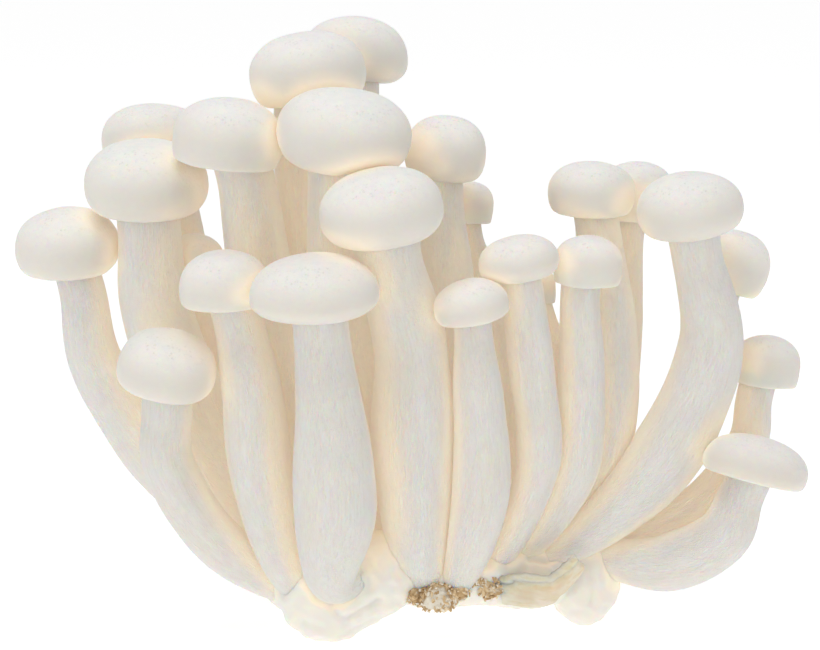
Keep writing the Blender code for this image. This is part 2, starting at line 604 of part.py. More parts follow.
def main():
    for old in list(bpy.data.objects):
        bpy.data.objects.remove(old)
    bunch = bpy.data.collections.new("shimeji_bunch")
    cutters = bpy.data.collections.new("cutters")
    for collection in (bunch, cutters):
        bpy.context.scene.collection.children.link(collection)

    cap_skin = material("cap_skin", CAP_SKIN, roughness=0.4)
    stem_flesh = material("stem_flesh", STEM_FLESH, roughness=0.5)
    base_flesh = material("base_flesh", BASE_FLESH, roughness=0.5)
    sawdust = material("sawdust", SAWDUST, roughness=0.9)

    base = build_base(bunch, base_flesh)
    cutter = swollen_copy(base, CUT_GAP, "base_cutter", cutters)

    rng = np.random.default_rng(CAP_SEED)
    caps = [Cap(m, rng) for m in MUSHROOMS]
    stems = [Stem(m, cap) for m, cap in zip(MUSHROOMS, caps)]
    for i, mushroom in enumerate(MUSHROOMS):
        others = [p for j, pair in enumerate(zip(caps, stems)) if j != i for p in pair]
        build_cap(mushroom, caps[i], stems[i], others, bunch, cap_skin)
        build_stem(mushroom, stems[i], others, bunch, stem_flesh, cutter)
    build_crust(stems, bunch, cutters, sawdust, cutter)
    for made in bunch.objects:
        made.data.shade_smooth()


main()
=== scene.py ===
"""The look of a bunch of white shimeji mushrooms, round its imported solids.

The layout table is the part's own, in millimetres, with +X to the right, +Y away from the camera and +Z up.
Each mushroom gets a fine cap, a ring of gills and a fine stem, pressed by its neighbours as the solids are.
"""

import math
from collections import namedtuple

import bmesh
import bpy
import numpy as np
from mathutils import Euler, Matrix, Vector, noise


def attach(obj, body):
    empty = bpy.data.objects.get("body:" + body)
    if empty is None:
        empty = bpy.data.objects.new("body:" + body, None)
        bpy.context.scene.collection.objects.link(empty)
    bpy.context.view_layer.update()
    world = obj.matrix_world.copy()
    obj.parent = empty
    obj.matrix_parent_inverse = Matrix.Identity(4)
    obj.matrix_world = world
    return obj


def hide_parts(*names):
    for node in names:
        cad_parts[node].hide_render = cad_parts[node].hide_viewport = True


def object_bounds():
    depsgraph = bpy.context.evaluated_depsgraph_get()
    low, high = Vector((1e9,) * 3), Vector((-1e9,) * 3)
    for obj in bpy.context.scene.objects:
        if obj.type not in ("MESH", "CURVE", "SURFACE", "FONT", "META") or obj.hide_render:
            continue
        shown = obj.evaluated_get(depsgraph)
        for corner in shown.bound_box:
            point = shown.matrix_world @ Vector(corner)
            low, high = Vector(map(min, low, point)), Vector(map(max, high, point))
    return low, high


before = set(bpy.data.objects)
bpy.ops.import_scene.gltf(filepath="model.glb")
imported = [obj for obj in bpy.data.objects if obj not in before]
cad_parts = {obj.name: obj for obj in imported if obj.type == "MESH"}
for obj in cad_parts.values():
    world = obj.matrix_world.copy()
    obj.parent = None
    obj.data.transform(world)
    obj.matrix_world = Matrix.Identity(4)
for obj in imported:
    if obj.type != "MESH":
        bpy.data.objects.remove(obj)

CAD_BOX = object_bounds()
MM = 0.001
FULL_TURN = 2 * math.pi

LAYOUT_SHIFT = (0.28, -3.15, 0.0)

# The mushrooms' own rules, with the part's values.
FLESH_GAP = 0.03
NECK_DRIFT = 0.7
COLLAR = 3.5
ROOT_SHARE = 0.25
ROOT_WIDTH = 0.6
LINE_POINTS = 36
CHAMBER_RISE = 0.34
GILL_SAG = 0.1
SEAT_ROOM = 0.45
DOME_POWER = 0.88
LOBE_SHARE = 0.035
LOBE_COUNTS = (2, 3, 5)
MARGIN_SHARE = 0.55
OPEN_MARGIN_SHARE = 0.9
WIDEST_MARGIN = 0.93
MARGIN_ROOM = 0.7
OPEN_CAP_LOW = 0.3
CAP_SEED = 11

# Fineness.
CAP_SIDES = 72
DOME_ROWS = 16
MARGIN_ROWS = 12
STEM_SIDES = 44
STEM_RINGS = 84
PRESS_HALVINGS = 12
NEAR = 1.0           # neighbours further off than this do not press
NEAR_SAMPLES = 60
PRESSED_BY = 0.01    # a point that a neighbour moved further than this counts as pressed
CELL = 2.5           # of the grid that shading is read off
SHADE_STEPS = (1.5, 4.0, 8.0, 14.0, 22.0)
WELD = 1e-4
CAP_SEED_STEP = 7.0
STEM_SEED_STEP = 11.0

Mushroom = namedtuple("Mushroom", "name middle radius thick lean low stem")

MUSHROOMS = [
    Mushroom("left_outer", (-62.0, 6.0, 68.8), 9.4, 11.4, (-4, 8), 0.37,
             ((-60.0, 6.0, 62.5, 8.4), (-57.0, 6.0, 46.5, 9.8),
              (-44.5, 5.0, 27.0, 10.5), (-23.0, 4.0, 8.0, 6.8))),
    Mushroom("left_tall", (-47.5, 2.0, 80.8), 11.0, 12.7, (0, 10), 0.39,
             ((-47.0, 2.0, 74.0, 11.2), (-46.0, 3.0, 58.0, 12.7),
              (-38.0, 1.5, 36.0, 13.7), (-18.5, -3.0, 9.0, 8.6))),
    Mushroom("left_rear", (-47.0, 18.0, 87.2), 9.6, 10.6, (0, 0), 0.37,
             ((-45.0, 18.0, 82.0, 8.5), (-40.5, 19.0, 59.0, 9.2),
              (-33.0, 17.0, 33.5, 9.5), (-12.5, 10.5, 8.5, 6.6))),
    Mushroom("left_inner", (-32.0, -6.0, 89.8), 9.9, 11.2, (6, 6), 0.37,
             ((-29.5, -4.0, 83.5, 10.4), (-26.5, 0.0, 60.5, 11.9),
              (-21.5, 0.0, 35.0, 11.5), (-9.0, 0.0, 10.0, 7.2))),
    Mushroom("crown_front", (-18.5, 5.0, 100.2), 10.6, 12.6, (-6, 2), 0.40,
             ((-20.0, 6.0, 94.0, 9.0), (-19.0, 8.0, 66.5, 9.8),
              (-13.5, 7.0, 35.5, 10.2), (-2.0, 4.0, 9.0, 6.5))),
    Mushroom("crown_rear", (-10.0, 23.0, 102.2), 9.8, 12.0, (4, -6), 0.32,
             ((-10.5, 22.0, 96.0, 9.2), (-10.5, 20.0, 67.0, 10.0),
              (-5.5, 14.0, 36.5, 9.5), (2.5, 6.0, 10.0, 6.5))),
    Mushroom("centre_tall", (-11.5, -10.0, 90.4), 11.9, 13.7, (6, 8), 0.42,
             ((-12.5, -8.0, 83.0, 11.0), (-12.0, -4.0, 61.0, 12.2),
              (-8.5, -5.0, 35.5, 12.0), (-0.5, -3.0, 9.5, 7.2))),
    Mushroom("centre_front", (-5.0, -22.0, 78.3), 10.8, 12.0, (-9, 10), 0.39,
             ((-4.5, -20.0, 71.5, 11.5), (0.0, -17.0, 53.0, 13.3),
              (0.5, -18.0, 32.5, 14.2), (2.0, -13.0, 12.0, 8.8))),
    Mushroom("centre_right", (6.5, 3.0, 86.0), 7.4, 11.2, (4, 4), 0.40,
             ((5.5, 3.0, 80.0, 7.6), (7.0, 2.0, 60.0, 9.4),
              (9.5, 0.0, 35.0, 9.7), (9.5, -2.0, 10.5, 5.7))),
    Mushroom("centre_small", (11.0, 15.0, 74.8), 4.3, 7.5, (4, 0), 0.41,
             ((10.5, 15.0, 71.0, 4.4), (15.5, 13.0, 54.0, 7.2),
              (17.0, 8.0, 32.5, 7.6), (11.5, 3.0, 9.5, 4.7))),
    Mushroom("front_left", (-32.5, -19.0, 65.2), 8.1, 9.1, (-2, 6), 0.28,
             ((-30.5, -17.0, 59.5, 8.8), (-28.0, -16.0, 45.5, 10.7),
              (-26.0, -17.0, 29.0, 11.1), (-20.0, -16.0, 10.5, 7.0))),
    Mushroom("front_long", (-16.5, -28.0, 65.0), 11.1, 10.1, (-2, 8), 0.31,
             ((-15.5, -26.0, 58.5, 10.0), (-14.0, -26.0, 43.0, 12.1),
              (-13.0, -26.0, 26.0, 14.6), (-13.5, -22.0, 12.0, 9.0))),
    Mushroom("left_low", (-42.5, -18.0, 50.2), 8.8, 10.6, (12, 12), 0.33,
             ((-43.0, -16.0, 43.5, 8.8), (-43.0, -15.0, 32.0, 9.5),
              (-35.0, -13.5, 18.0, 9.3), (-20.5, -9.5, 7.5, 6.0))),
    Mushroom("left_hidden", (-39.0, 9.5, 64.9), 5.4, 9.1, (4, 0), 0.40,
             ((-39.0, 10.0, 60.0, 5.5), (-36.5, 10.0, 44.0, 6.9),
              (-29.5, 9.0, 27.0, 7.2), (-16.0, 4.5, 11.5, 5.4))),
    Mushroom("front_small", (10.5, -22.0, 61.6), 6.7, 6.8, (-11, 6), 0.32,
             ((11.0, -20.0, 57.5, 7.0), (12.0, -20.0, 43.5, 8.7),
              (12.5, -20.0, 27.5, 10.0), (8.5, -14.0, 10.5, 6.0))),
    Mushroom("front_right", (19.0, -16.0, 68.4), 7.2, 7.2, (-8, 6), 0.37,
             ((19.5, -15.0, 64.0, 7.4), (21.5, -15.0, 48.0, 8.1),
              (22.5, -15.0, 30.5, 7.7), (14.5, -10.0, 12.5, 5.0))),
    Mushroom("right_short", (31.5, -10.0, 67.2), 6.0, 8.4, (2, 4), 0.43,
             ((30.0, -10.0, 63.0, 7.1), (30.5, -10.0, 47.5, 8.3),
              (29.0, -10.0, 29.5, 8.9), (17.0, -6.0, 11.5, 5.4))),
    Mushroom("right_tall", (32.5, 2.0, 78.8), 7.9, 9.1, (2, 4), 0.41,
             ((33.5, 2.0, 74.5, 7.9), (35.5, 1.0, 51.0, 11.2),
              (34.0, -1.0, 30.5, 10.8), (20.0, -1.5, 9.5, 5.4))),
    Mushroom("right_rear", (41.5, 13.0, 77.0), 6.8, 10.6, (0, 0), 0.45,
             ((40.5, 12.0, 72.0, 5.1), (39.0, 11.0, 51.5, 6.9),
              (35.5, 7.0, 31.0, 7.3), (21.0, 5.0, 10.5, 5.1))),
    Mushroom("right_bend", (49.5, -6.0, 76.7), 9.6, 10.7, (-7, 8), 0.37,
             ((50.5, -5.0, 70.5, 9.1), (54.0, -3.0, 51.0, 11.5),
              (45.0, -4.5, 30.0, 12.9), (26.0, -6.0, 13.5, 6.0))),
    Mushroom("right_back", (59.5, 13.0, 64.2), 6.6, 11.1, (20, 0), 0.38,
             ((57.0, 12.0, 58.5, 6.2), (55.5, 11.0, 44.0, 6.9),
              (46.5, 8.0, 27.0, 7.3), (30.0, 5.0, 12.5, 5.4))),
    Mushroom("far_right", (65.0, 7.0, 46.7), 6.0, 8.9, (6, 0), 0.43,
             ((63.0, 6.0, 42.5, 6.7), (61.5, 5.0, 32.0, 7.3),
              (52.5, 1.0, 21.0, 7.9), (33.5, 1.0, 13.0, 5.8))),
    Mushroom("open_cap", (62.0, -10.0, 31.5), 9.4, 7.8, (14, -4), 0.25,
             ((60.5, -9.0, 27.5, 8.2), (56.0, -8.0, 17.0, 10.0),
              (46.5, -7.0, 12.0, 10.3), (32.0, -2.0, 12.0, 6.0))),
    Mushroom("gap_small", (22.5, 0.0, 61.5), 3.6, 6.5, (0, 0), 0.45,
             ((23.5, 0.0, 58.5, 4.3), (26.5, 0.0, 46.0, 6.1),
              (26.0, -1.0, 29.5, 6.1), (14.5, -1.5, 12.0, 4.3))),
    Mushroom("rear_left", (-26.5, 27.0, 66.0), 7.5, 10.5, (-4, -8), 0.44,
             ((-26.0, 26.5, 61.0, 7.0), (-24.5, 25.0, 46.0, 8.4),
              (-19.5, 19.0, 27.0, 8.8), (-9.0, 11.0, 9.0, 6.0))),
    Mushroom("rear_centre", (4.0, 30.0, 62.0), 8.0, 10.5, (2, -10), 0.42,
             ((4.0, 29.0, 57.0, 7.4), (4.5, 27.0, 43.0, 8.8),
              (5.0, 20.0, 26.0, 9.0), (5.0, 12.0, 9.0, 6.0))),
    Mushroom("rear_right", (35.0, 24.0, 55.0), 6.2, 9.0, (4, -6), 0.45,
             ((34.5, 23.5, 50.5, 6.2), (33.0, 21.5, 38.0, 7.2),
              (28.0, 15.0, 23.0, 7.6), (19.0, 8.0, 10.0, 5.4))),
    Mushroom("rear_low_left", (-25.0, 38.0, 41.0), 7.4, 10.0, (-6, -14), 0.44,
             ((-24.0, 36.5, 36.5, 6.6), (-21.5, 32.5, 27.0, 7.8),
              (-17.0, 25.0, 17.0, 8.0), (-10.0, 14.0, 8.0, 6.0))),
    Mushroom("rear_low_right", (25.0, 35.0, 38.0), 7.0, 9.4, (6, -14), 0.45,
             ((24.0, 33.5, 33.5, 6.4), (21.5, 29.5, 24.5, 7.4),
              (17.5, 22.5, 15.5, 7.8), (12.0, 13.0, 8.0, 5.6))),
]

# The base's fleshy lobes: middle, then half sizes along X, Y and Z.
BASE_LOBES = [
    ((5.0, 0.0, 10.5), (28.0, 16.0, 7.5)),
    ((-13.8, -13.5, 8.6), (10.6, 8.5, 9.0)),
    ((-14.5, -14.5, 4.0), (6.0, 6.5, 5.2)),
    ((-6.0, -14.0, 11.5), (7.5, 6.0, 8.0)),
    ((31.5, -1.0, 7.3), (6.5, 8.5, 8.3)),
    ((20.0, -7.0, 9.0), (9.0, 7.0, 5.5)),
    ((-18.5, 6.0, 6.6), (9.5, 8.0, 7.3)),
    ((6.0, 15.0, 6.0), (15.0, 8.5, 7.2)),
]
BASE_MIDDLE = np.array((5.0, 0.0, 9.0))
BASE_OWNER = len(MUSHROOMS)
BASE_VOXEL = 0.48
BASE_SMOOTHING = 12

# Creases pressed into the front of the base: points along X and Z, depth and half width.
BASE_CREASES = [
    (((-19.8, 13.5), (-18.6, 11.0), (-16.6, 8.2), (-14.0, 7.0), (-11.3, 7.8), (-9.6, 9.4)), 0.7, 0.6),
    (((-13.9, 6.6), (-12.4, 5.2), (-10.8, 4.8), (-8.1, 6.2), (-5.5, 7.5)), 0.5, 0.6),
    (((-22.1, 7.8), (-19.5, 4.4), (-16.3, 2.4)), 0.3, 1.1),
    (((-7.5, 15.0), (-5.0, 12.0), (-2.8, 9.8)), 0.35, 0.6),
    (((32.1, 11.2), (33.0, 8.0), (32.5, 4.6)), 0.4, 0.7),
    (((21.5, 13.6), (24.8, 12.9), (27.2, 14.0), (29.3, 16.4), (31.5, 18.6)), 0.8, 0.6),
]

# The torn flap: its rooted lower edge and its free upper edge, which rises to a curled tip.
FLAP_ROOT = (
    (16.5, -12.0, 6.5), (20.5, -12.5, 6.0), (24.5, -13.5, 6.5), (28.5, -14.5, 10.0), (31.0, -14.0, 13.0))
FLAP_EDGE = (
    (15.5, -14.0, 11.0), (20.5, -16.5, 12.0), (24.5, -17.5, 12.0), (27.0, -17.0, 14.0), (29.0, -15.5, 15.5))
FLAP_THICK = 1.1
FLAP_BULGE = 1.5

CRUST_LUMPS = [
    ((0.9, -15.0, 7.9), (2.9, 2.6, 1.5)),
    ((4.7, -15.5, 7.4), (3.8, 3.2, 3.0)),
    ((8.3, -15.0, 9.0), (2.6, 2.7, 2.3)),
    ((11.3, -14.4, 10.3), (1.9, 1.9, 0.9)),
    ((14.1, -13.8, 8.9), (2.5, 2.4, 2.2)),
]
CRUST_SEED = 5
GRAINS_PER_LUMP = 190


def smooth_line(points, count):
    """Rows read off one smooth curve through rows of place and width, closer together on its short spans."""
    rows = np.asarray(points, float)
    spans = np.sqrt(np.linalg.norm(np.diff(rows[:, :3], axis=0), axis=1))
    knots = np.concatenate([[0], np.cumsum(spans)])
    slopes = np.diff(rows, axis=0) / spans[:, None]
    before, after = spans[:-1, None], spans[1:, None]
    inner = (slopes[:-1] * after + slopes[1:] * before) / (before + after)
    tangents = np.vstack([slopes[:1], inner, slopes[-1:]])
    places = np.linspace(0, knots[-1], count)
    at = np.clip(np.searchsorted(knots, places, side="right") - 1, 0, len(spans) - 1)
    width = spans[at][:, None]
    t = ((places - knots[at]) / spans[at])[:, None]
    start = rows[at] * (1 + 2 * t) * (1 - t) ** 2 + tangents[at] * width * t * (1 - t) ** 2
    return start + rows[at + 1] * t**2 * (3 - 2 * t) + tangents[at + 1] * width * t**2 * (t - 1)


class Cap:
    """One cap's frame: its own Z runs up through the pole, and z = 0 is its widest ring."""

    def __init__(self, mushroom, rng):
        right, front = (math.radians(a) for a in mushroom.lean)
        turn = Matrix.Rotation(right, 3, "Y") @ Matrix.Rotation(front, 3, "X")
        self.turn = np.array(turn)
        self.radius = mushroom.radius
        self.lower = mushroom.low * mushroom.thick
        self.dome = mushroom.thick - self.lower
        self.open = mushroom.low < OPEN_CAP_LOW
        offset = self.lower - mushroom.thick / 2
        self.origin = np.array(mushroom.middle) + self.turn @ np.array((0, 0, offset))
        self.reach = max(self.radius, self.dome)
        self.gill_height = -self.lower * (1 - CHAMBER_RISE)
        self.lobes = [(k, LOBE_SHARE / k, rng.uniform(0, FULL_TURN)) for k in LOBE_COUNTS]

    def to_own(self, points):
        return (points - self.origin) @ self.turn

    def to_world(self, points):
        return points @ self.turn.T + self.origin

    def swell(self, angle):
        return 1 + sum(share * np.cos(k * angle + phase) for k, share, phase in self.lobes)

    def field(self, points):
        """Roughly how far points lie outside the cap, along lines from its middle."""
        own = self.to_own(points)
        angle = np.arctan2(own[:, 1], own[:, 0])
        wide = self.radius * self.swell(angle)
        tall = np.where(own[:, 2] > 0, self.dome, self.lower)
        reach = np.sqrt((own[:, 0] ** 2 + own[:, 1] ** 2) / wide**2 + own[:, 2] ** 2 / tall**2)
        return np.linalg.norm(own, axis=1) * (1 - 1 / np.maximum(reach, 1e-6))

    def margin(self, stem):
        """The inner edge of the rolled margin, wide enough for the stem to pass."""
        share = OPEN_MARGIN_SHARE if self.open else MARGIN_SHARE
        reach = max(np.linalg.norm(self.to_own(np.array([row[:3]]))[0, :2]) for row in stem.rows[:2])
        passing = min(reach + stem.neck_radius + MARGIN_ROOM, WIDEST_MARGIN * self.radius)
        return max(share * self.radius, passing)


class Stem:
    """One stem's middle line and widths, from inside the cap down to its root in the base."""

    def __init__(self, mushroom, cap):
        neck, upper, foot = (np.array(mushroom.stem[row][:3]) for row in (0, 1, -1))
        own = cap.to_own(neck[None])[0]
        top = cap.to_world(np.array([[*(own[:2] * NECK_DRIFT), cap.gill_height]]))[0]
        collar = neck + (upper - neck) * COLLAR / np.linalg.norm(upper - neck)
        root = foot + (BASE_MIDDLE - foot) * ROOT_SHARE
        width, foot_width = mushroom.stem[0][3], mushroom.stem[-1][3]
        self.rows = [(*top, width), (*collar, width), *mushroom.stem[1:], (*root, foot_width * ROOT_WIDTH)]
        line = smooth_line(self.rows, LINE_POINTS)
        self.line, self.radii = line[:, :3], line[:, 3] / 2
        self.neck_radius = mushroom.stem[0][3] / 2

    def nearest(self, points):
        """For each point: the nearest place on the middle line, its radius there, and how far away it is."""
        start, step = self.line[:-1], np.diff(self.line, axis=0)
        along = np.einsum("psk,sk->ps", points[:, None] - start, step) / (step**2).sum(1)
        along = np.clip(along, 0, 1)
        places = start + along[..., None] * step
        away = np.linalg.norm(points[:, None] - places, axis=2)
        pick = away.argmin(1)
        rows = np.arange(len(points))
        share = along[rows, pick]
        radius = self.radii[pick] * (1 - share) + self.radii[pick + 1] * share
        return places[rows, pick], radius, away[rows, pick]

    def field(self, points):
        _, radius, away = self.nearest(points)
        return away - radius


class Lobe:
    """A fleshy lobe of the base, which only shades what is near it."""

    def __init__(self, middle, sizes):
        self.middle = np.array(middle)
        self.sizes = np.array(sizes)

    def field(self, points):
        own = points - self.middle
        reach = np.linalg.norm(own / self.sizes, axis=1)
        return np.linalg.norm(own, axis=1) * (1 - 1 / np.maximum(reach, 1e-6))


def near_ones(points, others):
    """The neighbours that come near any of the points."""
    middle = points.mean(0)
    reach = np.linalg.norm(points - middle, axis=1).max() + NEAR
    sample = np.vstack([middle[None], points[:: max(1, len(points) // NEAR_SAMPLES)]])
    return [o for o in others if o.field(middle[None])[0] < reach and o.field(sample).min() < NEAR]


def press(points, anchors, own, others):
    """Points drawn in towards their anchors until each is clear of the surface midway to any neighbour."""
    def clear(spots):
        mine = own.field(spots) + 2 * FLESH_GAP
        return np.all([mine <= other.field(spots) for other in others], axis=0)

    if not others:
        return points
    hit = np.flatnonzero(~clear(points))
    if not len(hit):
        return points
    start, step = anchors[hit], points[hit] - anchors[hit]
    low, high = np.zeros(len(hit)), np.ones(len(hit))
    for _ in range(PRESS_HALVINGS):
        middle = (low + high) / 2
        good = clear(start + middle[:, None] * step)
        low = np.where(good, middle, low)
        high = np.where(good, high, middle)
    moved = points.copy()
    moved[hit] = start + low[:, None] * step
    return moved


class Crowd:
    """How far each place of a grid lies from the nearest form, and from the nearest one of another owner."""

    def __init__(self, owned_forms, low, high):
        axes = [np.arange(a, b + CELL, CELL) for a, b in zip(low, high)]
        self.low = np.array(low)
        self.shape = tuple(len(axis) for axis in axes)
        spots = np.stack(np.meshgrid(*axes, indexing="ij"), -1).reshape(-1, 3)
        self.first, self.second = np.full(len(spots), np.inf), np.full(len(spots), np.inf)
        self.owner = np.full(len(spots), -1)
        for owner, form in owned_forms:
            away = form.field(spots)
            same = self.owner == owner
            nearer = away < self.first
            passed = nearer & ~same
            self.second = np.where(passed, self.first, self.second)
            self.second = np.where(~nearer & ~same, np.minimum(self.second, away), self.second)
            self.first = np.where(nearer, away, self.first)
            self.owner = np.where(nearer, owner, self.owner)

    def free(self, points, owner):
        """How far points lie from every form but the owner's, read off between eight places of the grid."""
        own = np.clip((points - self.low) / CELL, 0, np.array(self.shape) - 1.001)
        corner = own.astype(int)
        part = own - corner
        total = np.zeros(len(points))
        for step in np.ndindex(2, 2, 2):
            index = np.ravel_multi_index(tuple((corner + step).T), self.shape)
            value = np.where(self.owner[index] == owner, self.second[index], self.first[index])
            weight = np.prod(np.where(step, part, 1 - part), axis=1)
            total += weight * value
        return total

    def shade(self, points, normals, owner):
        """0 where a point looks out freely, towards 1 where others stand close in front of it."""
        total = np.zeros(len(points))
        for distance in SHADE_STEPS:
            free = self.free(points + normals * distance, owner)
            total += np.clip(1 - free / distance, 0, 1)
        return total / len(SHADE_STEPS)


def places(work):
    return np.array([v.co for v in work.verts])


def set_places(work, points):
    for v, point in zip(work.verts, points):
        v.co = point


def normals_of(work):
    work.normal_update()
    return np.array([v.normal for v in work.verts])


def mark(mesh, name, values):
    """Stores a number or a vector at each vertex, for the mesh's material to read."""
    values = np.asarray(values, float)
    kind = "FLOAT_VECTOR" if values.ndim == 2 else "FLOAT"
    layer = mesh.attributes.new(name, kind, "POINT")
    layer.data.foreach_set("vector" if values.ndim == 2 else "value", values.ravel())


def finished(name, work, slot, stands_for, look, smooth=True, **marks):
    """The bmesh as a piece of the bunch, from the table's millimetres into the frame's metres."""
    mesh = bpy.data.meshes.new(name)
    bmesh.ops.translate(work, verts=work.verts, vec=LAYOUT_SHIFT)
    bmesh.ops.scale(work, verts=work.verts, vec=(MM, MM, MM))
    work.to_mesh(mesh)
    work.free()
    for key, values in marks.items():
        mark(mesh, key, values)
    mesh.materials.append(look)
    if smooth:
        mesh.shade_smooth()
    piece = bpy.data.objects.new(name, mesh)
    bpy.context.scene.collection.objects.link(piece)
    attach(piece, "root")
    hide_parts(stands_for)


def applied(holder):
    """A bmesh of a mesh object with its modifiers applied. The object is removed."""
    bpy.context.view_layer.update()
    graph = bpy.context.evaluated_depsgraph_get()
    mesh = bpy.data.meshes.new_from_object(holder.evaluated_get(graph))
    bpy.data.objects.remove(holder)
    work = bmesh.new()
    work.from_mesh(mesh)
    bpy.data.meshes.remove(mesh)
    return work


def held(name, work):
    mesh = bpy.data.meshes.new(name)
    work.to_mesh(mesh)
    work.free()
    holder = bpy.data.objects.new(name, mesh)
    bpy.context.scene.collection.objects.link(holder)
    return holder


def rough(point, scale, seed=0.0):
    """Smooth noise about 0 at a point given in millimetres, whose lumps are about the scale across."""
    return noise.noise(Vector(point) / scale + Vector((seed, 0, 0)))


CEILING = 1.9        # from a gill's edge up to the flesh between the gills
LIP = 0.35           # of the margin, where it turns up to the gills
LIP_STEP = 1.3
RIM_SHARE = 0.2      # of the height under the widest ring that keeps its place round the cap's middle


def cap_rows(cap, stem):
    """Radius and height from the pole, over the dome, round the rolled margin and in over the gills."""
    inner = cap.margin(stem)
    rows = []
    for a in np.linspace(math.pi / 2, 0, DOME_ROWS + 1):
        rows.append((cap.radius * max(math.cos(a), 0) ** DOME_POWER, cap.dome * math.sin(a) ** DOME_POWER))
    rows[0] = (0.0, cap.dome)
    for a in np.linspace(0, math.pi / 2, MARGIN_ROWS + 1)[1:]:
        rows.append((inner + (cap.radius - inner) * math.cos(a), -cap.lower * math.sin(a)))
    rows.append((inner - LIP, -cap.lower + LIP))
    rows.append((inner - LIP_STEP * LIP, -cap.lower + CEILING))
    rows.append((0.0, cap.gill_height + CEILING))
    return rows


def centring(cap, stem, own):
    """How far each point beneath the cap follows the stem's place under it, 1 at the stem."""
    inner, seat = cap.margin(stem), stem.neck_radius + SEAT_ROOM
    away = np.hypot(own[:, 0], own[:, 1])
    share = np.clip((inner - away) / (inner - seat), 0, 1)
    return np.where(own[:, 2] < -RIM_SHARE * cap.lower, share, 0)


def settled(cap, stem, own):
    """Points of the cap's own frame swollen to its lobed outline and drawn to the stem beneath."""
    share = centring(cap, stem, own)
    swell = cap.swell(np.arctan2(own[:, 1], own[:, 0]))
    stem_top = cap.to_own(np.array([stem.rows[0][:3]]))[0]
    own = own.copy()
    own[:, :2] *= (1 + (swell - 1) * (1 - share))[:, None]
    own[:, :2] += share[:, None] * stem_top[:2]
    return own


def turned(rows, sides):
    """A profile in the XZ plane spun round Z."""
    work = bmesh.new()
    verts = [work.verts.new((r, 0, z)) for r, z in rows]
    edges = [work.edges.new(pair) for pair in zip(verts, verts[1:])]
    bmesh.ops.spin(
        work, geom=verts + edges, cent=(0, 0, 0), axis=(0, 0, 1), dvec=(0, 0, 0),
        angle=FULL_TURN, steps=sides, use_merge=True, use_normal_flip=False, use_duplicate=False,
    )
    bmesh.ops.remove_doubles(work, verts=work.verts, dist=WELD)
    bmesh.ops.recalc_face_normals(work, faces=work.faces)
    return work


DENT = 0.16          # how far a cap's skin wanders in and out
DENT_WIDTH = 5.0


def build_cap(mushroom, cap, stem, others, crowd, look):
    work = turned(cap_rows(cap, stem), CAP_SIDES)
    own = places(work)
    moved = settled(cap, stem, own)
    seed = CAP_SEED_STEP * mushroom.radius
    dents = np.array([rough(p, DENT_WIDTH, seed) for p in moved])
    moved *= (1 + DENT * dents / cap.radius)[:, None]
    world = cap.to_world(moved)
    near = near_ones(world, others)
    pressed = press(world, np.broadcast_to(cap.origin, world.shape), cap, near)
    set_places(work, pressed)
    soften(work, np.linalg.norm(pressed - world, axis=1) > PRESSED_BY)
    shade = crowd.shade(places(work), normals_of(work), MUSHROOMS.index(mushroom))
    finished(
        "cap_" + mushroom.name, work, "cap_skin", "cap_" + mushroom.name, look,
        on_cap=own + seed, crown=np.clip(own[:, 2] / cap.dome, 0, 1), crowded=shade,
    )


def soften(work, hit, rounds=3):
    """Rounds off the edges of what neighbours pressed flat."""
    work.verts.ensure_lookup_table()
    core = {work.verts[i] for i in np.flatnonzero(hit)}
    ring = {e.other_vert(v) for v in core for e in v.link_edges}
    for _ in range(rounds):
        bmesh.ops.smooth_vert(
            work, verts=list(core | ring), factor=0.5, use_axis_x=True, use_axis_y=True, use_axis_z=True)


GILL_STEPS = 6
GILL_THICK = 0.22
GILL_SPACING = 0.95  # along the ring of the gills' outer ends
GILL_WAVE = 0.12
GILL_WAVE_LENGTH = 2.0
SHORT_GILL_REACH = 0.5
SHORT_GILL_RISE = 0.9
GILL_ROOT = 0.3      # how far the gills run on into the flesh above them
GILL_SEAT = 0.9      # of the stem's radius, where the gills end inside it


def gill_blades(count, outer, seat, bottom, top, phase):
    """Thin plates hung round Z between two radii."""
    work = bmesh.new()
    bmesh.ops.create_grid(work, x_segments=GILL_STEPS, y_segments=1, size=0.5)
    for v in work.verts:
        share = v.co.x + 0.5
        radius = outer + (seat - outer) * share
        v.co = (radius, 0, top if v.co.y > 0 else bottom(share))
    bmesh.ops.solidify(work, geom=work.faces[:], thickness=GILL_THICK)
    bmesh.ops.translate(work, verts=work.verts, vec=(0, -GILL_THICK / 2, 0))
    bmesh.ops.rotate(work, verts=work.verts, cent=(0, 0, 0), matrix=Matrix.Rotation(phase, 3, "Z"))
    bmesh.ops.spin(
        work, geom=work.verts[:] + work.edges[:] + work.faces[:], cent=(0, 0, 0), axis=(0, 0, 1),
        dvec=(0, 0, 0), angle=FULL_TURN * (count - 1) / count, steps=count - 1, use_merge=False,
        use_normal_flip=False, use_duplicate=True,
    )
    bmesh.ops.recalc_face_normals(work, faces=work.faces)
    return work


